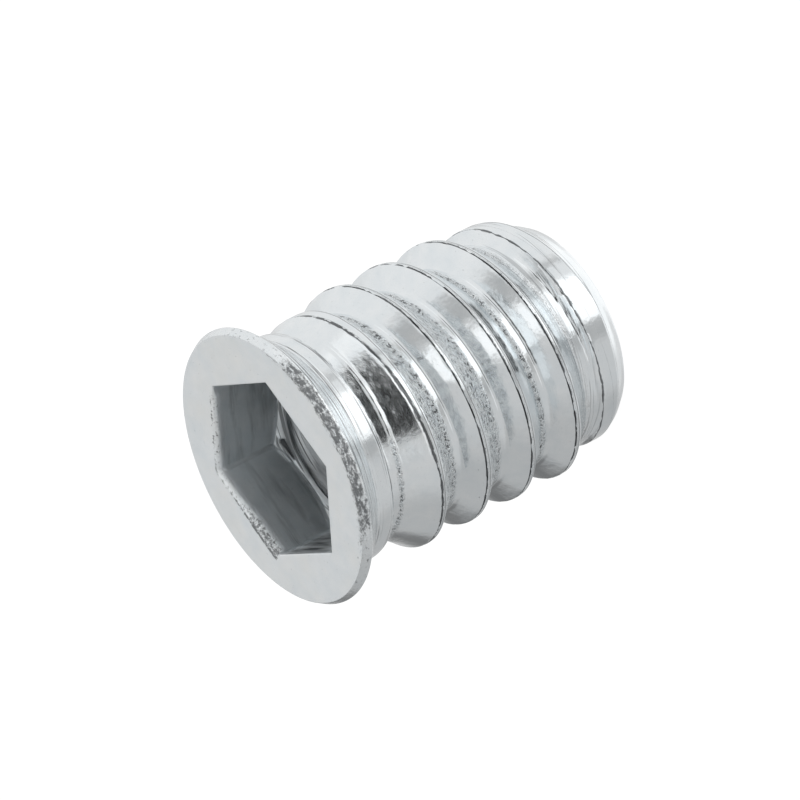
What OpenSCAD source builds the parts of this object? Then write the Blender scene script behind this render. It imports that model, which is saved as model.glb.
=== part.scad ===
// Flanged threaded insert for wood, driven by a hexagon key.
// One cold-formed and rolled steel piece: a thin flange, a hexagon socket, a through bore for a
// machine thread, and a coarse right-hand wood thread on the outside.
// It stands on its tip end at z = 0, with the flange on top. Lengths are in millimetres.

/* [Overall] */
// Height from the tip end to the flange face
insert_length = 16; // [12:0.5:40]

/* [Hexagon socket] */
// Width across the flats of the socket
socket_flats = 8; // [6:0.1:12]
// Depth of the socket at its corners
socket_depth = 3.05; // [2:0.05:6]
// Included angle of the conical seat under the socket
seat_angle = 120; // [90:5:140]

/* [Bore] */
// Nominal diameter of the machine thread in the bore
bore_thread_d = 8; // [5:0.5:12]
// Pitch of the machine thread in the bore
bore_pitch = 1.25; // [0.8:0.05:1.75]
// How far the countersink at the tip end reaches past the machine thread's nominal radius
countersink_margin = 0.1; // [0:0.05:0.3]
// Included angle of the countersink at the tip end
countersink_angle = 90; // [60:10:120]

/* [Walls] */
// Least wall between a corner of the socket and the root of the wood thread
corner_wall = 0.38; // [0.3:0.02:2]
// Least wall between the machine thread and the root of the wood thread
bore_wall = 0.5; // [0.4:0.05:3]

/* [Wood thread] */
// Rise of the wood thread in one turn
thread_pitch = 2.5; // [2.2:0.1:4]
// Depth of the wood thread from crest to root
thread_depth = 0.95; // [0.5:0.05:1]
// Width of the narrow flat along the crest
crest_flat = 0.26; // [0.1:0.02:0.4]
// Slope of the flank that faces the flange, from square to the axis
rear_flank_angle = 35.5; // [20:0.5:40]
// Slope of the flank that faces the tip, from square to the axis
lead_flank_angle = 48.5; // [30:0.5:50]
// Height above the tip end at which the crest crosses the +X direction
crest_start = 2.25; // [0:0.05:4]
// Straight steps round one turn of the thread
thread_steps = 60; // [36:4:72]

/* [Collar] */
// How far the collar under the flange stands out from the thread root
collar_step = 0.42; // [0.3:0.02:0.6]
// Depth of the collar's lower edge under the flange face
collar_depth = 2.33; // [2.1:0.01:3]
// How far the first groove, under the collar, goes deeper than the thread root
first_groove = 0.08; // [0:0.02:0.1]
// Slope of the first groove's long flank, from square to the axis
first_flank_angle = 61; // [45:1:65]
// Length over which the thread rises out of the shank under the collar
start_run = 0.8; // [0.5:0.1:2]
// Length over which the first crest rises from the collar's height to its full height
crest_run = 1.7; // [1:0.1:3]

/* [Tip] */
// How far the plain ring at the tip stands out from the thread root
tip_step = 0.14; // [0.1:0.02:0.5]
// Height of the plain ring at the tip
tip_ring = 0.92; // [0.9:0.02:2]
// Length over which the thread grows from the tip end to its full height
tip_run = 3.6; // [2:0.1:5]
// How far the plain ring's cone comes in at the tip end
tip_cone = 0.38; // [0.1:0.02:0.4]
// Radius that rounds the outer edge of the tip end
tip_round = 0.14; // [0.04:0.02:0.2]

/* [Flange] */
// How far the flange stands out past the crest of the wood thread
flange_lip = 0.6; // [0.2:0.05:4]
// Thickness of the flange at its rim
rim_thickness = 0.45; // [0.4:0.05:1]
// How far the rim's bevel comes in at the face
rim_bevel_in = 0.2; // [0.1:0.02:0.3]
// How far the rim's bevel goes down from the face
rim_bevel_down = 0.34; // [0.1:0.02:0.35]
// Radius that rounds the rim's edge at the underside
rim_under_round = 0.08; // [0.02:0.01:0.1]
// Thickness of the flange where its underside runs into the collar
flange_root = 1.6; // [1.2:0.05:2]

/* [Hidden] */
$fn = 96;

// How far a cut reaches past the face that it opens
overcut = 1;
// Depth of a metric thread in its nut, as a share of its pitch
metric_depth = 5 / 8 * cos(30);

// Radii of the inside
corner_r = socket_flats / 2 / cos(30);
bore_r = bore_thread_d / 2 - bore_pitch * metric_depth;
countersink_r = bore_thread_d / 2 + countersink_margin;

// Radii of the outside, each built on the one inside it
root_r = max(corner_r + corner_wall, bore_thread_d / 2 + bore_wall);
collar_r = root_r + collar_step;
first_root_r = root_r - first_groove;
tip_r = root_r + tip_step;
tip_end_r = tip_r - tip_cone;
crest_r = root_r + thread_depth;
flange_r = crest_r + flange_lip;

// Heights: the collar's two ends, and the socket's floor at its corners
collar_top_z = insert_length - flange_root;
collar_z = insert_length - collar_depth;
socket_floor_z = insert_length - socket_depth;

// The collar's lower end face slants by collar_slant over the radius collar_face
collar_face = 0.75;
collar_slant = 0.12;
// A turn of the thread starts to rise where its crest is this far under the collar's edge
start_gap = 0.12;
// How deep a turn that hasn't risen lies under its full height
start_sink = 0.9;
// The crest stays this far inside the collar's radius until it is crest_gap under its edge
crest_step = 0.07;
crest_gap = 0.9;

// The shank's two ends are buried this far inside the collar above and the tip ring below,
// and come out of them over the short height given by end_rise
end_bury = 0.25;
end_rise = 0.12;
ring_bury = 0.05;
shank_bottom = tip_ring - ring_bury;
shank_top = collar_z + end_bury;
low_ring_z = shank_bottom + end_rise;
high_ring_z = shank_top - end_rise;
// Nearest that a station may lie to the plain rings at the shank's ends
station_gap = 0.03;

// Stations along one pitch of the profile, as heights above the centre of a crest
half_flat = crest_flat / 2;
rear_foot = half_flat + thread_depth * tan(rear_flank_angle);
lead_top = thread_pitch - half_flat;
lead_foot = lead_top - thread_depth * tan(lead_flank_angle);
stations = [
    half_flat,
    (half_flat + rear_foot) / 2,
    rear_foot,
    (rear_foot + lead_foot) / 2,
    lead_foot,
    (lead_foot * 2 + lead_top) / 3,
    (lead_foot + lead_top * 2) / 3,
    lead_top
];
turns_below = ceil(crest_start / thread_pitch) + 1;
turns_above = ceil((insert_length - crest_start) / thread_pitch);

// A smooth step from 0 to 1 as t goes from 0 to 1
function smooth_step(t) = let (c = min(max(t, 0), 1)) c * c * (3 - 2 * c);

// The value a share t of the way from one value to another
function between(from, to, t) = from + (to - from) * t;

// Radius of a crest at height z: the full crest, less its rise at the collar and the tip
function limit_r(z) =
    min(between(collar_r - crest_step, crest_r, smooth_step((collar_z - crest_gap - z) / crest_run)),
        between(tip_r, crest_r, smooth_step(z / tip_run)));

// How far a turn of the thread has risen, from 0 to 1, where its crest is at height z
function risen(z) = smooth_step((collar_z - start_gap - z) / start_run);

// Radius of the shank in direction a at height z
function shank_r(a, z) =
    let (
        turn = (z - crest_start) / thread_pitch - a / 360,
        w = (turn - floor(turn)) * thread_pitch,
        // The turn below z, and the turn above it
        below = risen(z - w),
        above = risen(z - w + thread_pitch),
        limit_below = limit_r(z - w),
        limit_above = limit_r(z - w + thread_pitch),
        first_flank = limit_below - (w - half_flat) / tan(first_flank_angle),
        full_flank = crest_r - (w - half_flat) / tan(rear_flank_angle),
        rear = between(first_flank, full_flank, above) - start_sink * (1 - below),
        lead = crest_r - (lead_top - w) / tan(lead_flank_angle) - start_sink * (1 - above),
        groove = between(first_root_r, root_r, above)
            + tip_step * (1 - smooth_step((z - tip_ring) / tip_run)))
    max(groove, min(rear, limit_below), min(lead, limit_above));

function spot(a, r, z) = [r * cos(a), r * sin(a), z];

// One upright column of points in direction a, with its stations on the thread's helix
function column(a) = concat(
    [spot(a, tip_r - end_bury, shank_bottom), spot(a, shank_r(a, low_ring_z), low_ring_z)],
    [for (turn = [-turns_below:turns_above])
        for (w = stations)
            let (z = crest_start + thread_pitch * (turn + a / 360) + w)
            if (z > low_ring_z + station_gap && z < high_ring_z - station_gap)
                spot(a, shank_r(a, z), z)],
    [spot(a, shank_r(a, high_ring_z), high_ring_z), spot(a, first_root_r - end_bury, shank_top)]);

// The next state after s = [place in column p, place in column q]: the lower next point is taken
function climb(p, q, s) =
    let (p_left = s[0] < len(p) - 1, q_left = s[1] < len(q) - 1)
    p_left && (!q_left || p[s[0] + 1].z <= q[s[1] + 1].z) ? [s[0] + 1, s[1]] : [s[0], s[1] + 1];

// Triangles that sew column p to its neighbour q, whose points are numbered from p0 and q0
function sew(p, q, p0, q0) =
    [for (s = [0, 0]; s[0] < len(p) - 1 || s[1] < len(q) - 1; s = climb(p, q, s))
        let (n = climb(p, q, s))
        n[0] > s[0]
            ? [p0 + s[0], p0 + n[0], q0 + s[1]]
            : [p0 + s[0], q0 + n[1], q0 + s[1]]];

// The points of an arc about [x, y], from angle a0 to angle a1
function arc(x, y, r, a0, a1, steps = 8) =
    [for (i = [0:steps]) let (a = a0 + (a1 - a0) * i / steps) [x + r * cos(a), y + r * sin(a)]];

// The threaded shank, as columns sewn side by side into one closed surface
module threaded_shank() {
    columns = [for (j = [0:thread_steps - 1]) column(360 * j / thread_steps)];
    // How many points come before each column
    starts = [for (j = 0, n = 0; j < thread_steps; n = n + len(columns[j]), j = j + 1) n];
    side = [for (j = [0:thread_steps - 1])
        let (k = (j + 1) % thread_steps)
        each sew(columns[j], columns[k], starts[j], starts[k])];
    bottom = [for (j = [0:thread_steps - 1]) starts[j]];
    top = [for (j = [thread_steps - 1:-1:0]) starts[j] + len(columns[j]) - 1];
    polyhedron(points = [for (c = columns) each c], faces = concat(side, [bottom, top]));
}

// The flange and collar, turned from one outline that ends inside the shank
module flange() {
    rotate_extrude()
        polygon(concat(
            [
                [0, collar_z - collar_slant],
                [collar_r - collar_face, collar_z - collar_slant],
                [collar_r, collar_z],
                [collar_r, collar_top_z]
            ],
            arc(flange_r - rim_under_round, insert_length - rim_thickness + rim_under_round,
                rim_under_round, -60, 0),
            [
                [flange_r, insert_length - rim_bevel_down],
                [flange_r - rim_bevel_in, insert_length],
                [0, insert_length]
            ]));
}

// The plain ring at the tip, a cone with a rounded edge, with a bevel that ends inside the shank
module tip_end() {
    cone_angle = atan(tip_cone / (tip_ring - tip_round));
    rotate_extrude()
        polygon(concat(
            [[0, 0]],
            arc(tip_end_r - tip_round, tip_round, tip_round, -90, -cone_angle),
            [[tip_r, tip_ring], [tip_r - end_bury, tip_ring + end_bury], [0, tip_ring + end_bury]]));
}

// The hexagon socket, with corners on the X axis and a cone for its floor
module socket() {
    cut_r = corner_r + overcut;
    cut_top = insert_length + overcut;
    point_z = socket_floor_z - corner_r / tan(seat_angle / 2);
    intersection() {
        translate([0, 0, point_z])
            cylinder(h = cut_top - point_z, r = corner_r, $fn = 6);
        rotate_extrude()
            polygon([
                [0, point_z],
                [cut_r, point_z + cut_r / tan(seat_angle / 2)],
                [cut_r, cut_top],
                [0, cut_top]
            ]);
    }
}

// The bore for the machine thread, countersunk at the tip end
module bore() {
    cut_r = countersink_r + overcut;
    below = overcut / tan(countersink_angle / 2);
    translate([0, 0, -below])
        cylinder(h = socket_floor_z + below, r = bore_r);
    translate([0, 0, -below])
        cylinder(h = cut_r / tan(countersink_angle / 2), r1 = cut_r, r2 = 0);
}

module insert() {
    color("silver")
        difference() {
            union() {
                threaded_shank();
                flange();
                tip_end();
            }
            socket();
            bore();
        }
}

insert();
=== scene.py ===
# %% [markdown]
# # A threaded insert for wood
#
# A threaded insert is a short steel sleeve. Its coarse outer thread cuts into a drilled hole in
# wood, and its bore holds a machine screw, so that a panel can be taken off and put back many
# times. A hexagon key in the socket at its flanged end drives it in. The real one is a single
# piece: the flange and the socket are pressed in a die, the outer thread is rolled, the bore is
# tapped, and the whole is plated with bright zinc.
#
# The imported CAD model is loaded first. It is the fixed frame: it gives the length, the flange's
# width and the place where the insert stands, and everything below is built on those.

# %% Load the frame
import math

import bmesh
import bpy
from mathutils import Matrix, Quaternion, Vector


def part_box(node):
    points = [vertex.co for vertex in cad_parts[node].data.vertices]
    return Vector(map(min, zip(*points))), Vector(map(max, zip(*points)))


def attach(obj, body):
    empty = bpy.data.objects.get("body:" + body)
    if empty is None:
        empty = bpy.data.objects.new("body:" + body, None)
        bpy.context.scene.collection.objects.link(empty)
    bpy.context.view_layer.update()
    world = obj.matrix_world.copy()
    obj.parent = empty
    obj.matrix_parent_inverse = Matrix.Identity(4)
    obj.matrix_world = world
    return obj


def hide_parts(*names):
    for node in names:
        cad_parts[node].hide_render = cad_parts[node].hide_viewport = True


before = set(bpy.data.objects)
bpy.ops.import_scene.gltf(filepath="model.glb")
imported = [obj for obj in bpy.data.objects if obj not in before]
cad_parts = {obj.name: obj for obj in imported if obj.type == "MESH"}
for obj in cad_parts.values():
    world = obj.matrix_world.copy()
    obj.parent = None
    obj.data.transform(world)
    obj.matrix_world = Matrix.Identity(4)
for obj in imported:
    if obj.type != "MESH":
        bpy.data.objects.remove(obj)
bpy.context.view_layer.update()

# %% [markdown]
# ## Sizes
#
# The shape is worked out in millimetres, because its details are tenths of a millimetre, and
# it is scaled to metres at the end. Two sizes come from the frame: the length and the flange's
# radius. The others are the driving sizes of the same part and of its fine forms. The thread's
# radii follow inwards from the flange's, and those of the socket and the bore from their own.

# %% Driving sizes, in millimetres and degrees
MM = 0.001
lowest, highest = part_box("insert")
insert_length = (highest.z - lowest.z) / MM
flange_r = (highest.x - lowest.x) / 2 / MM

socket_flats = 8.0
socket_depth = 3.05
seat_angle = 120.0
mouth_lip = 0.07
bore_thread_d = 8.0
bore_pitch = 1.25
countersink_margin = 0.1
thread_pitch = 2.5
thread_depth = 0.95
crest_flat = 0.26
rear_flank_angle = 35.5
lead_flank_angle = 48.5
crest_start = 2.25
collar_step = 0.42
collar_depth = 2.33
first_groove = 0.08
first_flank_angle = 61.0
start_gap = 0.12
start_run = 0.8
start_sink = 0.9
crest_step = 0.07
crest_gap = 0.9
crest_run = 1.7
tip_step = 0.14
tip_ring = 0.92
tip_run = 3.6
tip_cone = 0.38
tip_round = 0.14
flange_lip = 0.6
rim_thickness = 0.45
rim_bevel_in = 0.2
rim_bevel_down = 0.34
rim_bevel_round = 0.06
rim_under_round = 0.08
flange_root = 1.6

# %% Sizes that follow from them
corner_r = socket_flats / 2 / math.cos(math.radians(30))
crest_r = flange_r - flange_lip
root_r = crest_r - thread_depth
collar_r = root_r + collar_step
tip_r = root_r + tip_step
tip_end_r = tip_r - tip_cone
bore_root_r = bore_thread_d / 2
bore_r = bore_root_r - bore_pitch * 5 / 8 * math.cos(math.radians(30))
countersink_r = bore_root_r + countersink_margin
neck_z = insert_length - flange_root
seat_slope = math.tan(math.radians(seat_angle / 2))
seat_point_z = insert_length - socket_depth - corner_r / seat_slope
print(f"length {insert_length:.2f}, flange radius {flange_r:.3f}, crest {crest_r:.3f}, root {root_r:.3f}")

# %% [markdown]
# ## Arithmetic with nodes
#
# The surface follows a rule: at each height and in each direction the radius is known. Such a
# shape suits Geometry Nodes, but a rule of thirty sums is hard to read as thirty node calls.
# The small class below stands for a value on its way through a node tree. Adding or multiplying
# two of them adds a Math node, so the rules further down read as plain formulas. It works in
# geometry trees and in material trees alike.

# %% A formula that writes its own Math nodes
def feed(tree, slot, value):
    """Gives a node's input a number, or links it to a formula."""
    if isinstance(value, Formula):
        tree.links.new(value.socket, slot)
    else:
        slot.default_value = value


class Formula:
    """A value on its way through a node tree."""

    def __init__(self, tree, socket):
        self.tree = tree
        self.socket = socket

    def apply(self, operation, *others):
        node = self.tree.nodes.new("ShaderNodeMath")
        node.operation = operation
        for slot, value in zip(node.inputs, (self, *others)):
            feed(self.tree, slot, value)
        return Formula(self.tree, node.outputs[0])

    def __add__(self, other):
        return self.apply("ADD", other)

    def __mul__(self, other):
        return self.apply("MULTIPLY", other)

    def __sub__(self, other):
        return self.apply("SUBTRACT", other)

    def __truediv__(self, other):
        return self.apply("DIVIDE", other)

    def __neg__(self):
        return self * -1.0

    def __rsub__(self, other):
        return -self + other

    __radd__ = __add__
    __rmul__ = __mul__


# %% Functions of formulas
def lesser(a, b, blend=0.0):
    """The lesser of two values, with the corner between them rounded over a blend."""
    if blend:
        return a.apply("SMOOTH_MIN", b, blend)
    return a.apply("MINIMUM", b)


def greater(a, b, blend=0.0):
    """The greater of two values, with the corner between them rounded over a blend."""
    if blend:
        return a.apply("SMOOTH_MAX", b, blend)
    return a.apply("MAXIMUM", b)


def limited(value, low=0.0, high=1.0):
    return lesser(greater(value, low), high)


def smooth_step(value):
    """From 0 to 1 as value goes from 0 to 1, with level ends."""
    t = limited(value)
    return t * t * (3.0 - 2.0 * t)


def mix(a, b, share):
    return a + (b - a) * share


def hump(value):
    """1 where value is 0, falling smoothly to 0 where it is 1 or -1."""
    t = limited(1.0 - value * value)
    return t * t


def noise(place, scale, detail=2.0, roughness=0.5, seed=0.0):
    """Even noise from 0 to 1, about 0.5 on average. Scale is in features for each unit of place."""
    node = place.tree.nodes.new("ShaderNodeTexNoise")
    node.noise_dimensions = "4D"
    feed(place.tree, node.inputs["Vector"], place)
    feed(place.tree, node.inputs["W"], seed)
    node.inputs["Scale"].default_value = scale
    node.inputs["Detail"].default_value = detail
    node.inputs["Roughness"].default_value = roughness
    return Formula(place.tree, node.outputs[0])


def combined(tree, x, y, z):
    node = tree.nodes.new("ShaderNodeCombineXYZ")
    for slot, value in zip(node.inputs, (x, y, z)):
        feed(tree, slot, value)
    return Formula(tree, node.outputs[0])


# %% [markdown]
# ## Bands of surface
#
# The skin of the insert is cut into bands, as a turner would name them: shank, underside, rim,
# face, socket mouth, wall, seat, bore, countersink, tip. Each band is a grid of columns round
# the axis and rows along the outline, bent into place by its own rule. Neighbouring bands share
# their border rule and their columns, so that merging the doubled points sews them into one
# closed skin. A lathe modifier could turn the plain bands, but neither the hexagon nor the
# helix, and one method for all keeps the columns in step.

# %% The tree, with a named input for each size
tree = bpy.data.node_groups.new("insert_skin", "GeometryNodeTree")
group_input = tree.nodes.new("NodeGroupInput")
SIZES = {
    "Length": insert_length,
    "Flange radius": flange_r,
    "Crest radius": crest_r,
    "Root radius": root_r,
    "Collar radius": collar_r,
    "Collar depth": collar_depth,
    "First root radius": root_r - first_groove,
    "First flank slope": math.tan(math.radians(first_flank_angle)),
    "Start gap": start_gap,
    "Start run": start_run,
    "Start sink": start_sink,
    "Crest step": crest_step,
    "Crest gap": crest_gap,
    "Crest run": crest_run,
    "Tip radius": tip_r,
    "Tip end radius": tip_end_r,
    "Thread pitch": thread_pitch,
    "Crest start": crest_start,
    "Crest flat": crest_flat,
    "Rear flank slope": math.tan(math.radians(rear_flank_angle)),
    "Lead flank slope": math.tan(math.radians(lead_flank_angle)),
    "Neck height": neck_z,
    "Tip ring": tip_ring,
    "Tip run": tip_run,
    "Tip round": tip_round,
    "Rim thickness": rim_thickness,
    "Rim bevel in": rim_bevel_in,
    "Rim bevel down": rim_bevel_down,
    "Rim bevel round": rim_bevel_round,
    "Rim under round": rim_under_round,
    "Socket half flats": socket_flats / 2,
    "Mouth lip": mouth_lip,
    "Seat slope": seat_slope,
    "Seat point": seat_point_z,
    "Bore radius": bore_r,
    "Bore root radius": bore_root_r,
    "Bore pitch": bore_pitch,
    "Countersink radius": countersink_r,
    "Seed": 7.0,
}
tree.interface.new_socket("Geometry", in_out="OUTPUT", socket_type="NodeSocketGeometry")
socket_ids = {}
for title, value in SIZES.items():
    item = tree.interface.new_socket(title, in_out="INPUT", socket_type="NodeSocketFloat")
    item.default_value = value
    socket_ids[title] = item.identifier
size = {title: Formula(tree, group_input.outputs[title]) for title in SIZES}
print(len(SIZES), "named inputs")

# %% A band: a grid bent into place by a rule
COLUMNS = 240
TURN = 2 * math.pi


class Place:
    """Where a point of a band lies: u is its share of a turn, v its share of the way across."""

    def __init__(self, u, v):
        self.u = u
        self.v = v
        self.cos = (u * TURN).apply("COSINE")
        self.sin = (u * TURN).apply("SINE")

    def at(self, r, z):
        return combined(tree, self.cos * r, self.sin * r, z)

    def near(self, azimuth, reach):
        """1 round one direction, in degrees, falling to 0 at its reach on both sides."""
        towards = self.cos * math.cos(math.radians(azimuth)) + self.sin * math.sin(math.radians(azimuth))
        edge = math.cos(math.radians(reach))
        return smooth_step((towards - edge) / (1 - edge) * 2.0)


def band(rows, rule):
    """One grid, with its rule for radius, height and finish. Returns its geometry socket."""
    grid = tree.nodes.new("GeometryNodeMeshGrid")
    grid.inputs["Vertices X"].default_value = COLUMNS + 1
    grid.inputs["Vertices Y"].default_value = rows + 1
    position = tree.nodes.new("GeometryNodeInputPosition")
    parts = tree.nodes.new("ShaderNodeSeparateXYZ")
    tree.links.new(position.outputs[0], parts.inputs[0])
    u, v = (Formula(tree, parts.outputs[i]) + 0.5 for i in range(2))
    place = Place(u, v)
    r, z, finish = rule(place)
    geometry = grid.outputs["Mesh"]
    for name, value in finish.items():
        store = tree.nodes.new("GeometryNodeStoreNamedAttribute")
        store.inputs["Name"].default_value = name
        feed(tree, store.inputs["Value"], value)
        tree.links.new(geometry, store.inputs["Geometry"])
        geometry = store.outputs[0]
    bend = tree.nodes.new("GeometryNodeSetPosition")
    tree.links.new(geometry, bend.inputs["Geometry"])
    feed(tree, bend.inputs["Position"], place.at(r, z))
    return bend.outputs[0]


# %% [markdown]
# ## The wood thread
#
# A rolled thread is a ridge that climbs the shank in a helix. At height w above the middle of
# the crest the ridge has two straight flanks; the one that faces the flange is steeper. Between
# turns the flanks run into a rounded root. At the neck the ridge grows out of a wider land, and
# at the tip it sinks into a plain ring, so a limit and a groove floor change with height.
#
# The die folds metal up on both sides of the crest, and the two folds never quite close: a thin
# seam runs along the crest's edge, and a finer one along the other edge. The grid's rows climb
# with the helix, so that a row never cuts across the crest, and they lie closest together at
# the crest and closer again at the root, where the shape turns fastest.

# %% The rules of the shank's outline
def crest_limit(depth, z):
    """Outer limit of the thread: the full crest, less its rise under the collar and at the tip."""
    risen_crest = smooth_step((depth - size["Collar depth"] - size["Crest gap"]) / size["Crest run"])
    at_collar = mix(size["Collar radius"] - size["Crest step"], size["Crest radius"], risen_crest)
    at_tip = mix(size["Tip radius"], size["Crest radius"], smooth_step(z / size["Tip run"]))
    return lesser(at_collar, at_tip)


def risen(crest_depth):
    """How far a turn of the thread has risen, from 0 to 1, where its crest is at this depth."""
    return smooth_step((crest_depth - size["Collar depth"] - size["Start gap"]) / size["Start run"])


# %% Small forms of the shank, in millimetres and degrees
# Rounds where crest, flank and root meet
CREST_ROUND = 0.06
ROOT_ROUND = 0.09
FIRST_ROUND = 0.02
# The collar: a slight slant, then a steep edge
COLLAR_SLANT = 0.3
COLLAR_EDGE_WIDTH = 0.2
COLLAR_EDGE_SLOPE = 6.0
COLLAR_ROUND = 0.03
# The first groove: its ridge line, and a ragged stretch beside it
RIDGE_LINE_DEPTH = 0.87
RIDGE_LINE_HALF = 0.09
RIDGE_LINE_HEIGHT = 0.035
RAGGED_DEPTH = 0.84
RAGGED_HALF = 0.13
TORN_SIDE = -152
TORN_REACH = 34
# The seams: how far in from the crest's edge, half their width, depth, and how far they wander
REAR_SEAM_IN = 0.05
REAR_SEAM_HALF = 0.06
REAR_SEAM_DEPTH = 0.06
REAR_SEAM_WANDER = 0.09
LEAD_SEAM_IN = 0.04
LEAD_SEAM_HALF = 0.04
LEAD_SEAM_DEPTH = 0.02
LEAD_SEAM_WANDER = 0.06
WANDER_SCALE = 0.9
SEAM_FADE = 0.3
EDGE_REACH = 0.4
# The groove at the foot of the tip-facing flank
FOOT_GROOVE_HALF = 0.07
FOOT_GROOVE_DEPTH = 0.05
FOOT_GROOVE_WANDER = 0.1
# The grain: in the groove, and over the whole flank down to a depth under the face
GRAIN_SCALE = 3.6
GRAIN_DEPTH = 0.08
GROOVE_GRAIN_IN = 0.06
GROOVE_GRAIN_HALF = 0.24
GROOVE_GRAIN_WANDER = 0.2
FLANK_GRAIN = 0.8
FLANK_GRAIN_START = 0.25
FLANK_GRAIN_RUN = 0.2
FLANK_GRAIN_TOP = 0.12
FULL_GRAIN_DEPTH = 9.4
FULL_GRAIN_RUN = 1.2
# Fine lines: round the collar's foot, on the neck, and in the last groove
COLLAR_LINES_DEPTH = 0.08
COLLAR_LINES_HALF = 0.24
NECK_LINES_START = 0.42
NECK_LINES_RUN = 0.15
LAST_GROOVE_DROP = 0.3
LAST_GROOVE_TOP_RUN = 0.5
LAST_GROOVE_LOW = 1.5
LAST_GROOVE_LOW_RUN = 0.2
LAST_GROOVE_LINES = 0.45
LAST_GROOVE_CLEAN = 0.8
print(f"seams {REAR_SEAM_DEPTH} and {LEAD_SEAM_DEPTH} mm deep, torn grain {GRAIN_DEPTH} mm")


# %% The shank, with its seams
def shank(place, z):
    """The shank's radius and finish at height z."""
    depth = size["Length"] - z
    turns = (z - size["Crest start"]) / size["Thread pitch"] - place.u
    w = (turns - turns.apply("FLOOR")) * size["Thread pitch"]
    half_flat = size["Crest flat"] / 2
    lead_top = size["Thread pitch"] - half_flat
    # How far the turns on both sides of this point have risen: nearer the tip, nearer the flange
    below = risen(depth + w)
    above = risen(depth + w - size["Thread pitch"])
    limit_below = crest_limit(depth + w, z - w)
    limit_above = crest_limit(depth + w - size["Thread pitch"], z - w + size["Thread pitch"])
    first_flank = limit_below - (w - half_flat) / size["First flank slope"]
    full_flank = size["Crest radius"] - (w - half_flat) / size["Rear flank slope"]
    rear = mix(first_flank, full_flank, above) - (1.0 - below) * size["Start sink"]
    lead = size["Crest radius"] - (lead_top - w) / size["Lead flank slope"]
    lead = lead - (1.0 - above) * size["Start sink"]
    at_tip = 1.0 - smooth_step((z - size["Tip ring"]) / size["Tip run"])
    groove = mix(size["First root radius"], size["Root radius"], above)
    groove = groove + (size["Tip radius"] - size["Root radius"]) * at_tip
    ridge = greater(lesser(rear, limit_below, CREST_ROUND), lesser(lead, limit_above, CREST_ROUND))
    r = greater(ridge, groove, FIRST_ROUND + above * ROOT_ROUND)
    # A fine ridge line runs round the first groove
    past = depth - size["Collar depth"]
    ridge_line = hump((past - RIDGE_LINE_DEPTH) / RIDGE_LINE_HALF) * RIDGE_LINE_HEIGHT
    r = r + ridge_line * (1.0 - above)
    # The collar, with its steep edge
    edge = greater(past * COLLAR_SLANT, (past - COLLAR_EDGE_WIDTH) * COLLAR_EDGE_SLOPE, COLLAR_ROUND)
    r = greater(r, size["Collar radius"] - greater(edge, 0.0, COLLAR_ROUND), COLLAR_ROUND)
    # The seams wander a little along the crest
    wander = noise(place.at(size["Crest radius"], z), WANDER_SCALE, 3.0, seed=size["Seed"]) - 0.5
    rear_edge = rear - limit_below - REAR_SEAM_IN + wander * REAR_SEAM_WANDER
    lead_edge = lead - limit_above - LEAD_SEAM_IN + wander * LEAD_SEAM_WANDER
    above_ring = smooth_step((z - size["Tip ring"]) / SEAM_FADE)
    inside = above_ring * smooth_step((past - SEAM_FADE) / SEAM_FADE)
    rear_seam = hump(rear_edge / REAR_SEAM_HALF) * REAR_SEAM_DEPTH
    seam = rear_seam + hump(lead_edge / LEAD_SEAM_HALF) * LEAD_SEAM_DEPTH
    r = r - seam * inside
    # The tip-facing flank comes out of the die with a granular skin and a groove at its foot.
    # Nearer the tip only the groove is granular
    foot = lead_top - (size["Crest radius"] - size["Root radius"]) * size["Lead flank slope"]
    foot_groove = hump((w - foot + wander * FOOT_GROOVE_WANDER) / FOOT_GROOVE_HALF)
    r = r - foot_groove * above * inside * FOOT_GROOVE_DEPTH
    past_foot = smooth_step((w - foot + FLANK_GRAIN_START) / FLANK_GRAIN_RUN)
    lead_side = past_foot * smooth_step((limit_above - r) / FLANK_GRAIN_TOP)
    by_groove = hump((w - foot + GROOVE_GRAIN_IN + wander * GROOVE_GRAIN_WANDER) / GROOVE_GRAIN_HALF)
    full_grain = smooth_step((FULL_GRAIN_DEPTH - depth + wander) / FULL_GRAIN_RUN)
    grain = greater(by_groove, lead_side * full_grain * FLANK_GRAIN) * above
    ragged = hump((past - RAGGED_DEPTH) / RAGGED_HALF) * (1.0 - above) * place.near(TORN_SIDE, TORN_REACH)
    coarse = noise(place.at(r, z), GRAIN_SCALE, 2.0, seed=size["Seed"]) - 0.5
    r = r + coarse * (grain * inside + ragged) * GRAIN_DEPTH
    # Fine lines run round the collar's foot, the neck and the last groove
    last_groove_top = size["Tip run"] - LAST_GROOVE_DROP
    above_low = smooth_step((z - LAST_GROOVE_LOW) / LAST_GROOVE_LOW_RUN)
    last_groove = smooth_step((last_groove_top - z) / LAST_GROOVE_TOP_RUN) * above_low
    neck_lines = smooth_step((-past - NECK_LINES_START) / NECK_LINES_RUN)
    collar_lines = hump((past - COLLAR_LINES_DEPTH) / COLLAR_LINES_HALF) + neck_lines
    finish = {
        "grain": greater(grain * inside * (1.0 - last_groove * LAST_GROOVE_CLEAN), ragged),
        "rear_edge": limited(rear_edge, -EDGE_REACH, EDGE_REACH),
        "lead_edge": limited(lead_edge, -EDGE_REACH, EDGE_REACH),
        "lines": limited(collar_lines + last_groove * (1.0 - hump(w - 0.1)) * LAST_GROOVE_LINES),
        "satin": grain * 0.3 + (1.0 - above) * 0.15,
    }
    return r, finish


ROWS_PER_TURN = 40
first_turn = math.floor((tip_ring - crest_start) / thread_pitch) - 1
last_turn = math.ceil((neck_z - crest_start) / thread_pitch)
turns_of_rows = last_turn - first_turn


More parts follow.
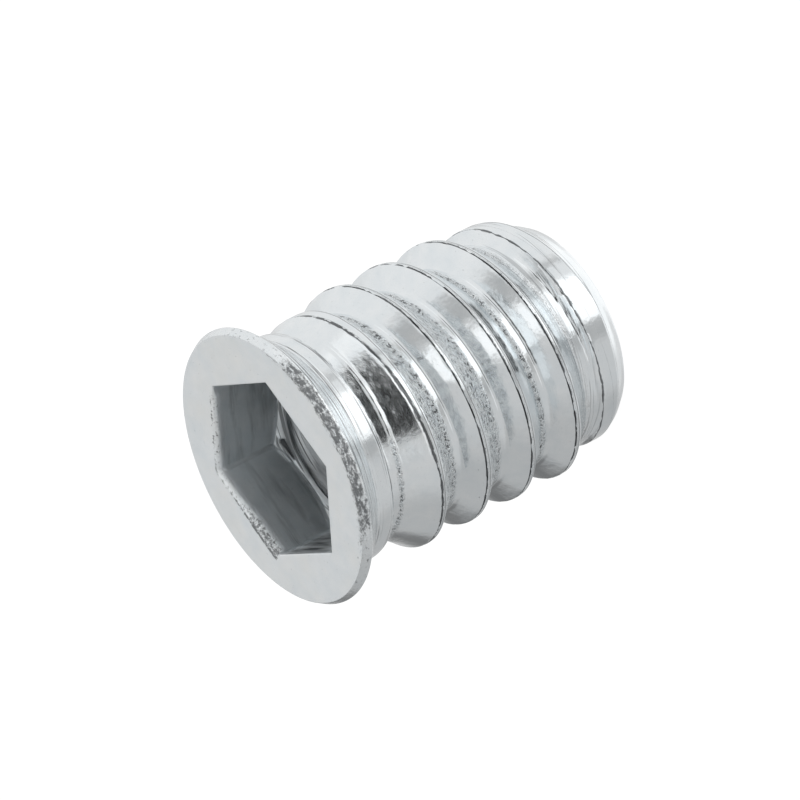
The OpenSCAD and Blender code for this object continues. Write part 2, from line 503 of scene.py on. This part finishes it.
def shank_rule(place):
    station = place.v * float(turns_of_rows)
    whole = (station + 0.001).apply("FLOOR")
    t = station - whole
    closer_at_crest = (t * TURN).apply("SINE") * (0.25 / TURN)
    closer_at_both = (t * (2 * TURN)).apply("SINE") * (0.3 / (2 * TURN))
    climb = whole + t - closer_at_crest - closer_at_both + float(first_turn) + place.u
    z = size["Crest start"] + size["Thread pitch"] * climb
    z = limited(z, size["Tip ring"], size["Neck height"])
    r, finish = shank(place, z)
    return r, z, finish


bands = [band(turns_of_rows * ROWS_PER_TURN, shank_rule)]
print("rows on the shank:", turns_of_rows * ROWS_PER_TURN)

# %% [markdown]
# ## The flange
#
# The flange is a thin disc with a rounded rim, and its underside is a cone that runs into the
# neck. The rim is the part that the die's edge shears, so it is pitted, while the face is flat
# and satin. Each of these bands is a short rule: a straight line or an arc of the outline.

# %% Underside and rim
UNDERSIDE_WAVE = 0.05
UNDERSIDE_WAVE_SCALE = 0.8
UNDERSIDE_LINES_FROM = 0.12
UNDERSIDE_LINES_RUN = 0.3


def underside_rule(place):
    inner, _ = shank(place, size["Neck height"])
    outer = size["Flange radius"] - size["Rim under round"] / 2
    low = size["Length"] - size["Rim thickness"]
    low = low + size["Rim under round"] * (1 - math.sin(math.radians(60)))
    r = mix(inner, outer, place.v)
    z = mix(size["Neck height"], low, place.v)
    wave = noise(place.at(r, z * 3.0), UNDERSIDE_WAVE_SCALE) - 0.5
    lined = smooth_step((place.v - UNDERSIDE_LINES_FROM) / UNDERSIDE_LINES_RUN)
    return r + wave * hump(place.v * 2.0 - 1.0) * UNDERSIDE_WAVE, z, {"lines": lined}


def arc_rule(centre_r, centre_z, radius, start, end, finish):
    """A rule for an arc of the outline, from one angle to another, in degrees."""
    def rule(place):
        angle = place.v * math.radians(end - start) + math.radians(start)
        r = centre_r + angle.apply("COSINE") * radius
        z = centre_z + angle.apply("SINE") * radius
        return r, z, finish(place)
    return rule


def line_rule(start, end, finish):
    """A rule for a straight line of the outline between two (radius, height) pairs."""
    def rule(place):
        return mix(start[0], end[0], place.v), mix(start[1], end[1], place.v), finish(place)
    return rule


under_r = size["Flange radius"] - size["Rim under round"]
under_z = size["Length"] - size["Rim thickness"] + size["Rim under round"]
bevel_angle = math.degrees(math.atan2(rim_bevel_in, rim_bevel_down))
bevel_cos = math.cos(math.radians(bevel_angle))
bevel_sin = math.sin(math.radians(bevel_angle))
low_tangent = size["Rim bevel round"] * math.tan(math.radians(bevel_angle / 2))
high_tangent = size["Rim bevel round"] * math.tan(math.radians(45 - bevel_angle / 2))
low_arc_r = size["Flange radius"] - size["Rim bevel round"]
low_arc_z = size["Length"] - size["Rim bevel down"] - low_tangent
high_arc_r = size["Flange radius"] - size["Rim bevel in"] - high_tangent
high_arc_z = size["Length"] - size["Rim bevel round"]
round_out = size["Rim bevel round"] * bevel_cos
round_up = size["Rim bevel round"] * bevel_sin
bevel_low = (low_arc_r + round_out, low_arc_z + round_up)
bevel_high = (high_arc_r + round_out, high_arc_z + round_up)


# The stretch of the rim that the die tore, as its middle and its reach in degrees
TORN_RIM = (-112, 48)
TORN_BEVEL = (-110, 44)
TORN_BORDER = (-112, 60)
# How pitted the rim and its bevel are elsewhere, and in that stretch. The zinc paints shade into these
# pits
RIM_PITS = (0.2, 0.5)
BEVEL_PITS = (0.25, 0.86)


def rim_finish(place):
    return {"pits": mix(*RIM_PITS, place.near(*TORN_RIM)), "satin": 0.2}


def bevel_finish(place):
    return {"pits": mix(*BEVEL_PITS, place.near(*TORN_BEVEL)), "satin": 0.2}


under_arc = arc_rule(under_r, under_z, size["Rim under round"], -60, 0, rim_finish)
rim_line = line_rule((size["Flange radius"], under_z), (size["Flange radius"], low_arc_z), rim_finish)
low_arc = arc_rule(low_arc_r, low_arc_z, size["Rim bevel round"], 0, bevel_angle, rim_finish)
bevel_line = line_rule(bevel_low, bevel_high, bevel_finish)
high_arc = arc_rule(high_arc_r, high_arc_z, size["Rim bevel round"], bevel_angle, 90, bevel_finish)
for rows, rule in (
        (14, underside_rule), (3, under_arc), (1, rim_line),
        (2, low_arc), (4, bevel_line), (3, high_arc)):
    bands.append(band(rows, rule))
print(f"bevel of the rim at {bevel_angle:.1f} degrees")


# %% [markdown]
# ## The hexagon socket
#
# The socket is punched: six flat walls go straight down to a conical seat. Because the columns
# stand 1.5 degrees apart, a column falls on each corner, and the corners stay sharp. The walls
# end on the cone, which is deeper in the middle of each flat than at a corner, so the seat
# meets each wall in a shallow arc. The punch drags a small lip round the mouth.

# %% Face, mouth, walls and seat
# The wall that gets the most painted shade, and the dent in the seat, which also gets painted
# shade, each as its middle and its reach in degrees
SHADED_WALL = (150, 28)
SEAT_DENT = (65, 8)
# The lip is up to this much wider than elsewhere where the punch dragged the metal
LIP_GROWTH = 4.2
BURR_HEIGHT = 0.2
# Azimuths, in degrees, at which the drag starts, grows and ends
DRAG_START = 2.0
DRAG_GROWS = 66.0
DRAG_END = 120.5
# How torn the mouth's rounded edge is, at the face and at the wall
MOUTH_TORN = (0.95, 0.68)
# How many borders of the face, or painted light lines of a wall, would fill the whole of it
RIM_BORDERS = 7.0
MOUTH_BORDERS = 12.0
CORNER_LINES = 39.0
FOOT_LINES = 14.0
FACE_WAVE = 0.02
FACE_WAVE_SCALE = 0.5
CHATTER_DEPTH = 0.03
CHATTER_AROUND = 1.2
CHATTER_DOWN = 1.6
DENT_DEPTH = 0.15


def hexagon(place, half_flats):
    """Distance from the axis to a hexagon with corners on the X axis."""
    sixth = place.u * 6.0
    from_flat = (sixth - sixth.apply("FLOOR") - 0.5) * (TURN / 6)
    return half_flats / from_flat.apply("COSINE")


def dragged(place):
    """How far the punch dragged the mouth's edge: 0 on four walls, and up to 1 on the other two."""
    degrees = place.u * 360.0
    first = smooth_step((degrees - DRAG_START) / 6.0) * 0.5
    second = smooth_step((degrees - DRAG_GROWS) / 46.0) * 0.5
    return (first + second) * smooth_step((DRAG_END - degrees) / 2.0)


def lip(place):
    """Width of the rounded lip at the mouth."""
    return size["Mouth lip"] * (1.0 + dragged(place) * LIP_GROWTH)


def face_rule(place):
    inner = hexagon(place, size["Socket half flats"] + lip(place))
    r = mix(high_arc_r, inner, place.v)
    wave = noise(place.at(r, size["Length"]), FACE_WAVE_SCALE) - 0.5
    z = size["Length"] + wave * hump(place.v * 2.0 - 1.0) * FACE_WAVE
    # The face's pitted borders at the rim and round the mouth, whose pits get painted shade
    rim_border = hump(place.v * RIM_BORDERS) * place.near(*TORN_BORDER)
    mouth_border = hump((1.0 - place.v) * MOUTH_BORDERS) * (dragged(place) + 0.2)
    return r, z, {"satin": 1.0, "pits": rim_border + mouth_border}


def mouth_rule(place):
    angle = place.v * (TURN / 4)
    r = hexagon(place, size["Socket half flats"] + lip(place) * (1.0 - angle.apply("SINE")))
    z = size["Length"] - lip(place) * (1.0 - angle.apply("COSINE"))
    burr = noise(place.at(r, z), 2.6, 2.0, seed=size["Seed"]) - 0.5
    z = z + burr * hump(place.v * 2.0 - 1.0) * dragged(place) * BURR_HEIGHT
    # The torn lip's pits get painted shade, and the socket's painted shade begins part way down the lip
    torn = dragged(place) * mix(*MOUTH_TORN, smooth_step(place.v * 3.0))
    return r, z, {"satin": 0.8, "pits": torn, "socket": smooth_step(place.v * 1.6 - 0.6) * 0.6}


def wall_rule(place):
    r = hexagon(place, size["Socket half flats"])
    foot = size["Seat point"] + r / size["Seat slope"]
    z = mix(size["Length"] - lip(place), foot, place.v)
    drawn = combined(tree, place.cos * CHATTER_AROUND, place.sin * CHATTER_AROUND, z * CHATTER_DOWN)
    chatter = noise(drawn, 1.0, 3.0) - 0.5
    # Light lines painted at a wall's corner and foot: the painted shade is lifted there, and the zinc is
    # raised a little
    corner = hump((place.u * 6.0 - 1.0) * CORNER_LINES)
    glint_line = greater(corner, hump((1.0 - place.v) * FOOT_LINES))
    # How much painted shade a wall gets: a little on most walls, most on the one that is darkest
    wall_shade = mix(0.5, 1.0, place.near(*SHADED_WALL))
    uneven = chatter * hump(place.v * 2.0 - 1.0) * CHATTER_DEPTH
    return r + uneven, z, {"socket": wall_shade, "edge": glint_line}


def seat_rule(place):
    wall = hexagon(place, size["Socket half flats"])
    r = mix(wall, size["Bore root radius"], place.v)
    hollow = place.near(*SEAT_DENT) * hump(place.v * 2.0 - 1.0)
    z = size["Seat point"] + r / size["Seat slope"] - hollow * DENT_DEPTH
    # Painted shade over the seat, deepest in its dent
    return r, z, {"socket": hollow * 0.8 + 0.7, "lines": 1.0}


bands.append(band(12, face_rule))
bands.append(band(4, mouth_rule))
bands.append(band(14, wall_rule))
bands.append(band(5, seat_rule))
print(f"socket {socket_flats} mm across flats, {2 * corner_r:.2f} mm across corners")

# %% [markdown]
# ## The bore and the tip
#
# The bore carries the machine thread that the screw runs in. It is the same idea as the wood
# thread, inside out: a sixty degree groove on a helix, cut short by the seat above and by the
# countersink below. Eight rows a turn put a row on both edges of each ridge and one in the
# middle of each groove.

# %% Bore, countersink and tip
BORE_ROWS_PER_TURN = 8
# From the middle of a groove to the edge of a ridge, as a share of the pitch
BORE_FLANK_FOOT = 0.375
bore_low = countersink_r - bore_root_r
bore_high = seat_point_z + bore_root_r / seat_slope
bore_turns = math.ceil((bore_high - bore_low) / bore_pitch) + 1


def bore_rule(place):
    climb = place.v * float(bore_turns) + place.u - 1.0
    z = bore_low + size["Bore pitch"] * climb
    z = limited(z, bore_low, bore_high)
    turns = (z - bore_low) / size["Bore pitch"] - place.u
    from_groove = ((turns - turns.apply("FLOOR")) - 0.5).apply("ABSOLUTE") * size["Bore pitch"]
    flank = (size["Bore pitch"] * BORE_FLANK_FOOT - from_groove) * math.tan(math.radians(60))
    thread = size["Bore radius"] + limited(flank, 0.0, size["Bore root radius"] - size["Bore radius"])
    seat = (z - size["Seat point"]) * size["Seat slope"]
    countersink = size["Countersink radius"] - z
    r = greater(greater(thread, seat), countersink)
    # Painted shade down the bore
    return r, z, {"socket": 0.9, "lines": 1.0}


def plain_finish(place):
    return {"satin": 0.1}


cone_angle = math.degrees(math.atan2(tip_cone, tip_ring - tip_round))
tip_flat_r = size["Tip end radius"] - size["Tip round"]
tip_low = (
    tip_flat_r + size["Tip round"] * math.cos(math.radians(cone_angle)),
    size["Tip round"] - size["Tip round"] * math.sin(math.radians(cone_angle)))
bands.append(band(bore_turns * BORE_ROWS_PER_TURN, bore_rule))
bands.append(band(1, line_rule(
    (size["Bore root radius"], size["Countersink radius"] - size["Bore root radius"]),
    (size["Countersink radius"], 0.0), plain_finish)))
bands.append(band(3, line_rule(
    (size["Countersink radius"], 0.0), (tip_flat_r, 0.0), plain_finish)))
bands.append(band(6, arc_rule(
    tip_flat_r, size["Tip round"], size["Tip round"], -90, -cone_angle, plain_finish)))


def ring_rule(place):
    top, _ = shank(place, size["Tip ring"])
    r = mix(tip_low[0], top, place.v) + hump(place.v * 2.0 - 1.0) * 0.05
    return r, mix(tip_low[1], size["Tip ring"], place.v), {"satin": 0.1}


bands.append(band(8, ring_rule))
print(len(bands), "bands")

# %% [markdown]
# ## Sewing the bands into one skin
#
# The bands are joined and their doubled points merged, which closes every border and the seam
# where the last column meets the first. The skin is then scaled from millimetres to metres. The
# finished result is turned into a plain mesh and the modifier is dropped, because the insert is
# one formed piece and everything after this works on its mesh.

# %% Join, merge, scale and set the material
zinc = bpy.data.materials.new("bright_zinc")
join = tree.nodes.new("GeometryNodeJoinGeometry")
for geometry in bands:
    tree.links.new(geometry, join.inputs[0])
merge = tree.nodes.new("GeometryNodeMergeByDistance")
merge.inputs["Distance"].default_value = 0.001
scale = tree.nodes.new("GeometryNodeTransform")
scale.inputs["Scale"].default_value = (MM, MM, MM)
smooth = tree.nodes.new("GeometryNodeSetShadeSmooth")
realize = tree.nodes.new("GeometryNodeRealizeInstances")
paint = tree.nodes.new("GeometryNodeSetMaterial")
paint.inputs["Material"].default_value = zinc
group_output = tree.nodes.new("NodeGroupOutput")
last = join.outputs[0]
for node in (merge, scale, smooth, realize, paint, group_output):
    tree.links.new(last, node.inputs[0])
    if node.outputs:
        last = node.outputs[0]
print(len(tree.nodes), "nodes in the tree")

# %% The plain mesh
insert_body = bpy.data.objects.new("insert_body", bpy.data.meshes.new("insert_body"))
bpy.context.scene.collection.objects.link(insert_body)
modifier = insert_body.modifiers.new("skin", "NODES")
modifier.node_group = tree
for title, value in SIZES.items():
    modifier[socket_ids[title]] = value
depsgraph = bpy.context.evaluated_depsgraph_get()
finished = bpy.data.meshes.new_from_object(
    insert_body.evaluated_get(depsgraph), preserve_all_data_layers=True, depsgraph=depsgraph)
insert_body.modifiers.clear()
insert_body.data = finished
finished.name = "insert_body"

shell = bmesh.new()
shell.from_mesh(finished)
bmesh.ops.recalc_face_normals(shell, faces=shell.faces)
open_edges = sum(1 for edge in shell.edges if len(edge.link_faces) != 2)
volume = shell.calc_volume(signed=True)
shell.to_mesh(finished)
shell.free()
finished.set_sharp_from_angle(angle=math.radians(38))
triangles = sum(len(face.vertices) - 2 for face in finished.polygons)
print(f"{triangles} triangles, {open_edges} open edges, volume {volume * 1e9:.1f} mm3")

# %% [markdown]
# ## Bright zinc
#
# Zinc plating is a thin bright metal with a faint blue cast. On rolled steel it takes the skin
# of what lies under it: glossy where the die polished the flanks, satin on the pressed face,
# granular where the metal was stretched, and finely lined round the collar and the last groove.
# The skin's own attributes say where each of these lies, so one material covers the whole piece.
# What is deep and narrow gets painted shade in its colour: the two seams along the crest, the
# grain's pits and the torn edge of the rim. The socket, its seat and its bore get painted shade
# too, lifted by painted glints along scratches and at the corners and feet of its walls.

# %% The zinc's material: its places
def attribute(tree, name):
    node = tree.nodes.new("ShaderNodeAttribute")
    node.attribute_name = name
    return Formula(tree, node.outputs["Fac"])


def colour_mix(tree, share, first, second):
    """The second colour over the first. The first may be a colour or another mix."""
    node = tree.nodes.new("ShaderNodeMix")
    node.data_type = "RGBA"
    feed(tree, node.inputs[0], share)
    if isinstance(first, tuple):
        node.inputs[6].default_value = (*first, 1.0)
    else:
        tree.links.new(first, node.inputs[6])
    node.inputs[7].default_value = (*second, 1.0)
    return node.outputs[2]


zinc.use_nodes = True
shader = zinc.node_tree
surface = shader.nodes["Principled BSDF"]
surface.inputs["Metallic"].default_value = 1.0
where = shader.nodes.new("ShaderNodeTexCoord")
in_mm = shader.nodes.new("ShaderNodeVectorMath")
in_mm.operation = "SCALE"
in_mm.inputs["Scale"].default_value = 1 / MM
shader.links.new(where.outputs["Object"], in_mm.inputs[0])
spot = Formula(shader, in_mm.outputs[0])


def stretched(x, y, z):
    """The place in millimetres, with each direction scaled: less than 1 draws a pattern out."""
    node = shader.nodes.new("ShaderNodeVectorMath")
    node.operation = "MULTIPLY"
    node.inputs[1].default_value = (x, y, z)
    shader.links.new(in_mm.outputs[0], node.inputs[0])
    return Formula(shader, node.outputs[0])


def drawn_round(around, across):
    """The place with its pattern drawn out round the axis: features for each millimetre."""
    parts = shader.nodes.new("ShaderNodeSeparateXYZ")
    shader.links.new(in_mm.outputs[0], parts.inputs[0])
    x, y, z = (Formula(shader, output) for output in parts.outputs)
    round_x, round_y = (c / from_axis * MEAN_R * around for c in (x, y))
    return combined(shader, round_x, round_y, z * across)


# A middling radius of the insert, so that patterns drawn round it keep their size
MEAN_R = 5.4
across_axis = shader.nodes.new("ShaderNodeVectorMath")
across_axis.operation = "LENGTH"
shader.links.new(stretched(1.0, 1.0, 0.0).socket, across_axis.inputs[0])
from_axis = Formula(shader, across_axis.outputs["Value"])
grain = attribute(shader, "grain")
satin = attribute(shader, "satin")
pits = attribute(shader, "pits")
lines = attribute(shader, "lines")
socket = attribute(shader, "socket")
edge = attribute(shader, "edge")
rear_edge = attribute(shader, "rear_edge")
lead_edge = attribute(shader, "lead_edge")

# %% The zinc's patterns
GRAINS_AROUND = 4.6
GRAINS_ACROSS = 7.6
grains = noise(
    drawn_round(GRAINS_AROUND, GRAINS_ACROSS), 1.0, 3.0, 0.72, seed=from_axis * GRAINS_ACROSS)
fine = noise(spot, 16.0, 2.0) - 0.5
round_the_axis = noise(stretched(0.25, 0.25, 11.0), 1.0, 2.0)
along_the_wall = noise(stretched(0.35, 0.35, 2.4), 1.0, 3.0)
scratches = noise(stretched(1.1, 1.1, 12.0), 1.0, 1.0, seed=5.0)
mottle = noise(spot, 1.1, 5.0, 0.6) - 0.5
patches = noise(spot, 1.6, 2.0, seed=3.0)

# %% The seams, pits, lines and scratches: masks for painted shade, dark lines and painted glints
# A seam's least half width, what a patch adds to it and its jagged wander, in millimetres
SEAM_NARROW = 0.014
SEAM_WIDER = 0.045
SEAM_JAG = 0.12
# Half the width of the fine seam
FINE_SEAM = 0.025
# Where a pattern turns into a mark, and over how much of its range the mark's edge runs
PIT_BELOW, PIT_EDGE = 0.46, 0.05
LINE_BELOW, LINE_EDGE = 0.46, 0.07
SCRATCH_ABOVE, SCRATCH_EDGE = 0.64, 0.03
seam_width = smooth_step((patches - 0.36) / 0.2) * SEAM_WIDER + SEAM_NARROW
jag = (noise(drawn_round(3.0, 12.0), 1.0, 2.0, seed=2.0) - 0.5) * SEAM_JAG
seam = 1.0 - smooth_step((rear_edge + jag).apply("ABSOLUTE") / seam_width - 0.4)
fine_seam = 1.0 - smooth_step(lead_edge.apply("ABSOLUTE") / FINE_SEAM - 0.3)
farther_edge = greater(lead_edge.apply("ABSOLUTE"), rear_edge.apply("ABSOLUTE"))
on_thread = farther_edge.apply("GREATER_THAN", 0.0001)
pit = smooth_step((PIT_BELOW - grains) / PIT_EDGE)
torn = smooth_step(pits * 1.6 + (grains - 0.5) * 4.5 - 0.6)
line = smooth_step((LINE_BELOW - round_the_axis) / LINE_EDGE)
plain_wall = smooth_step(1.0 - (socket - 0.5).apply("ABSOLUTE") * 5.0)
# Bright scratches on the plain walls: painted glints that lift the painted shade, and glossier zinc
scratch_glint = smooth_step((scratches - SCRATCH_ABOVE) / SCRATCH_EDGE) * plain_wall

# %% The zinc's relief, in millimetres
GRAIN_RELIEF = 0.25
PITS_RELIEF = 0.09
WAVE_RELIEF = 0.02
LINE_RELIEF = 0.08
WALL_RELIEF = 0.02
SEAM_RELIEF = 0.03
EDGE_RELIEF = 0.06
FINE_ON_GRAIN = 0.05
FINE_ON_PITS = 0.03
FINE_ON_SATIN = 0.008
FINE_ON_PLAIN = 0.0012
relief = (grains - 0.5) * (grain * GRAIN_RELIEF + pits * PITS_RELIEF)
relief = relief + (patches - 0.5) * WAVE_RELIEF
fine_depth = grain * FINE_ON_GRAIN + pits * FINE_ON_PITS + satin * FINE_ON_SATIN + FINE_ON_PLAIN
relief = relief + fine * fine_depth
relief = relief + (round_the_axis - 0.5) * lines * LINE_RELIEF
relief = relief + (along_the_wall - 0.5) * socket * WALL_RELIEF
relief = relief - (seam + fine_seam * 0.5) * on_thread * SEAM_RELIEF + edge * EDGE_RELIEF
bump = shader.nodes.new("ShaderNodeBump")
bump.inputs["Distance"].default_value = MM
bump.inputs["Strength"].default_value = 1.0
feed(shader, bump.inputs["Height"], relief)
shader.links.new(bump.outputs[0], surface.inputs["Normal"])

# %% The zinc's colour and gloss
BLUE_ZINC = (0.785, 0.83, 0.855)
PALE_ZINC = (0.875, 0.90, 0.91)
WARM_ZINC = (0.87, 0.865, 0.83)
# The grey for painted shade and for the dark lines
SHADE_AND_LINE_DARK = (0.10, 0.105, 0.11)
# How much painted shade the grain's pits, the torn pits and the socket get, how dark the fine lines are,
# and how much the socket's streaks add
PIT_SHADE = 0.95
TORN_SHADE = 0.84
LINE_DARK = 0.8
SOCKET_SHADE = 0.75
SOCKET_STREAKS = 3.4
SATIN_ROUGH = 0.24
MOTTLE_ROUGH = 0.14
GRAIN_ROUGH = 0.06
SOCKET_ROUGH = 0.56
SCRATCH_GLOSS = 0.1
PLAIN_ROUGH = 0.13
colour = colour_mix(shader, limited(mottle * 2.4 + 0.5), BLUE_ZINC, PALE_ZINC)
warm = limited(noise(spot, 0.5, 3.0, seed=9.0) * 3.0 - 1.2) * satin * 0.5
colour = colour_mix(shader, warm, colour, WARM_ZINC)
# Painted shade in the grain's pits, and in the torn pits of the rim, the face's borders and the mouth's
# lip
dark = greater(pit * grain * PIT_SHADE, torn * TORN_SHADE)
dark = greater(dark, line * lines * LINE_DARK)
# Painted shade inside the socket, deepest in the seat's dent and on its darkest wall, with darker streaks
# along the walls
streaks = (0.5 - along_the_wall) * socket * SOCKET_STREAKS
dark = greater(dark, socket * socket * SOCKET_SHADE - 0.18 + streaks)
# Painted glints: the painted shade is lifted along bright scratches and along the light lines at a wall's
# corner and foot
dark = dark * (1.0 - scratch_glint) * (1.0 - edge)
# Painted shade in the two seams along the crest, deep and narrow
dark = greater(dark, (seam * 0.9 + fine_seam * 0.5) * on_thread)
colour = colour_mix(shader, limited(dark), colour, SHADE_AND_LINE_DARK)
shader.links.new(colour, surface.inputs["Base Color"])
roughness = satin * SATIN_ROUGH + mottle * MOTTLE_ROUGH + grain * GRAIN_ROUGH
roughness = roughness + socket * SOCKET_ROUGH - scratch_glint * SCRATCH_GLOSS + PLAIN_ROUGH
feed(shader, surface.inputs["Roughness"], limited(roughness, 0.08, 0.6))
print(len(shader.nodes), "nodes in the zinc's material")

# %% The insert in the frame
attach(insert_body, "root")
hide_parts("insert")
print(insert_body.name, "stands for the insert")

# %% [markdown]
# ## The camera
#
# The camera looks at the flange from above and is turned on its own axis, as if the insert lay
# on its side in front of it. A long lens far away keeps the two ends almost the same size. The
# lamp is placed from the camera's own axes, so these are worked out here.

# %% Camera
view_azimuth = -18.37
view_elevation = 28.82
view_roll = -116.78
camera_distance = 389.66 * MM
look_at = Vector((0.28, 0.25, 8.59)) * MM

side = math.radians(view_azimuth)
rise = math.radians(view_elevation)
towards_camera = Vector((
    math.sin(side) * math.cos(rise),
    -math.cos(side) * math.cos(rise),
    math.sin(rise)))
turned = (-towards_camera).to_track_quat("-Z", "Y")
turned = turned @ Quaternion((0.0, 0.0, 1.0), math.radians(view_roll))
camera = bpy.data.objects.new("camera", bpy.data.cameras.new("camera"))
camera.data.sensor_width = 36.0
camera.data.lens = 400.0
camera.data.clip_start = 0.01
camera.data.clip_end = 20.0
camera.rotation_mode = "QUATERNION"
camera.rotation_quaternion = turned
camera.location = look_at + towards_camera * camera_distance
bpy.context.scene.collection.objects.link(camera)
bpy.context.scene.camera = camera
camera_right = turned @ Vector((1.0, 0.0, 0.0))
camera_up = turned @ Vector((0.0, 1.0, 0.0))
print("camera at, mm:", [round(c / MM, 1) for c in camera.location])

# %% [markdown]
# ## The studio
#
# Bright metal shows its surroundings, so the studio is what gives it its look. It is a pale
# tent all round the insert, lighter on the left than on the right, with a tall strip light just
# left of the camera and the dark opening that the camera looks through. The tent is painted on
# the world. Each panel has its bearing, in degrees to the left of the camera as seen from above
# the insert, and its height above the horizon. Grey cards and bright ones stand beside each
# other, because a curved flank of bright metal needs both to show its form. The camera itself
# sees an even background in place of the tent.

# %% Bearing and height of each direction of the sky
world = bpy.data.worlds.new("studio")
bpy.context.scene.world = world
world.use_nodes = True
sky = world.node_tree
sky.nodes.clear()
compass = sky.nodes.new("ShaderNodeTexCoord")
DEGREES = 180 / math.pi


def along(direction):
    """How far the sky's own direction points along the one given, from -1 to 1."""
    node = sky.nodes.new("ShaderNodeVectorMath")
    node.operation = "DOT_PRODUCT"
    node.inputs[1].default_value = direction
    sky.links.new(compass.outputs["Generated"], node.inputs[0])
    return Formula(sky, node.outputs["Value"])


forward = Vector((math.sin(side), -math.cos(side), 0.0))
leftward = Vector((math.cos(side), math.sin(side), 0.0))
bearing = along(leftward).apply("ARCTAN2", along(forward)) * DEGREES
height = along((0.0, 0.0, 1.0)).apply("ARCSINE") * DEGREES


def panel(centre, half_width, low, high, soft):
    """1 on a panel of the tent, falling to 0 over its soft edge."""
    aside = (bearing - float(centre)).apply("WRAP", 180.0, -180.0).apply("ABSOLUTE")
    across = smooth_step((half_width - aside) / soft + 0.5)
    return across * smooth_step((height - low) / soft + 0.5) * smooth_step((high - height) / soft + 0.5)


# %% The tent
# Bearing of the middle, half its width, height from and to, soft edge (all in degrees), strength.
# A later row covers an earlier one
PANELS = [
    (-125, 38, -45, 52, 28, 0.60),  # grey wall, right and beyond the insert
    (-155, 15, -19, 12, 14, 0.24),  # a dark gap at that wall's far side
    (180, 26, 8, 60, 14, 0.87),  # the pale sheet that the flange's face mirrors
    (-90, 95, -100, -50, 12, 0.95),  # low on the right
    (90, 95, -100, -50, 12, 1.40),  # low on the left
    (0, 190, -100, -68, 10, 1.38),  # straight below
    (180, 62, 64, 82, 12, 1.60),  # high up, beyond the insert
    (75, 30, 60, 75, 10, 0.60),  # a grey patch high on the left
    (45, 12, -48, 2, 10, 0.66),  # grey card left of the strip light
    (-22, 10, -60, 2, 10, 0.60),  # grey card right of the strip light
    (-34, 16, 7, 22, 6, 1.15),  # bright cards above the two grey ones
    (60, 22, 7, 22, 6, 1.30),
    (10, 22, -80, 24, 6, 1.55),  # the tall strip light
    (0, 28, 50, 60, 6, 1.10),  # two lights overhead
    (12, 40, 72, 90, 6, 1.45),
    (14, 44, 24, 39, 5, 0.0),  # the dark opening for the camera
]
# Every strength multiplies this grey
TENT_GREY = (0.8, 0.8, 0.8, 1.0)
TENT_RIGHT = 0.78
TENT_LEFT = 1.10
light = mix(TENT_RIGHT, TENT_LEFT, smooth_step((along(leftward) + 0.2) / 0.9))
for centre, half_width, low, high, soft, strength in PANELS:
    light = mix(light, strength, panel(centre, half_width, low, high, soft))

rays = sky.nodes.new("ShaderNodeLightPath")
seen = Formula(sky, rays.outputs["Is Camera Ray"])
background = sky.nodes.new("ShaderNodeBackground")
background.inputs["Color"].default_value = TENT_GREY
feed(sky, background.inputs["Strength"], mix(light, 1.0, seen))
sky_output = sky.nodes.new("ShaderNodeOutputWorld")
sky.links.new(background.outputs[0], sky_output.inputs[0])
print(len(PANELS), "panels in the tent")

# %% [markdown]
# ## The floor
#
# The insert stands on its tip on a plain white floor. To the camera three quarters of the floor's
# light is its own glow, which makes it white without more light on the insert, and the rest
# keeps a trace of the insert's soft shadow. The metal doesn't mirror the floor: it mirrors the
# tent, which goes on below it.

# %% Floor
floor_half = 1.5
GLOW_SHARE = 0.75
floor_mesh = bpy.data.meshes.new("floor")
floor_mesh.from_pydata(
    [(x * floor_half, y * floor_half, 0.0) for x, y in ((-1, -1), (1, -1), (1, 1), (-1, 1))],
    [], [(0, 1, 2, 3)])
floor = bpy.data.objects.new("floor", floor_mesh)
bpy.context.scene.collection.objects.link(floor)
floor.visible_glossy = False
paper = bpy.data.materials.new("white_floor")
paper.use_nodes = True
floor_mesh.materials.append(paper)
base = paper.node_tree
floor_surface = base.nodes["Principled BSDF"]
floor_surface.inputs["Base Color"].default_value = (0.9, 0.9, 0.9, 1.0)
floor_surface.inputs["Roughness"].default_value = 0.9
glow = base.nodes.new("ShaderNodeEmission")
glow.inputs["Strength"].default_value = 1.2
floor_rays = base.nodes.new("ShaderNodeLightPath")
seen = Formula(base, floor_rays.outputs["Is Camera Ray"])
blend = base.nodes.new("ShaderNodeMixShader")
feed(base, blend.inputs[0], seen * GLOW_SHARE)
base.links.new(floor_surface.outputs[0], blend.inputs[1])
base.links.new(glow.outputs[0], blend.inputs[2])
base.links.new(blend.outputs[0], base.nodes["Material Output"].inputs["Surface"])
print("floor", 2 * floor_half, "m across")

# %% A soft lamp beside the camera
lamp = bpy.data.objects.new("softbox", bpy.data.lights.new("softbox", "AREA"))
lamp.data.size = 0.6
lamp.data.energy = 0.4
lamp_distance = 0.8
beside = math.radians(70)
lamp_direction = towards_camera * math.cos(beside) + camera_right * math.sin(beside) + camera_up
lamp_direction = lamp_direction.normalized()
lamp.location = look_at + lamp_direction * lamp_distance
lamp.rotation_mode = "QUATERNION"
lamp.rotation_quaternion = lamp_direction.to_track_quat("Z", "Y")
bpy.context.scene.collection.objects.link(lamp)
print("lamp at, mm:", [round(c / MM) for c in lamp.location])

bpy.context.scene.view_settings.view_transform = "Standard"
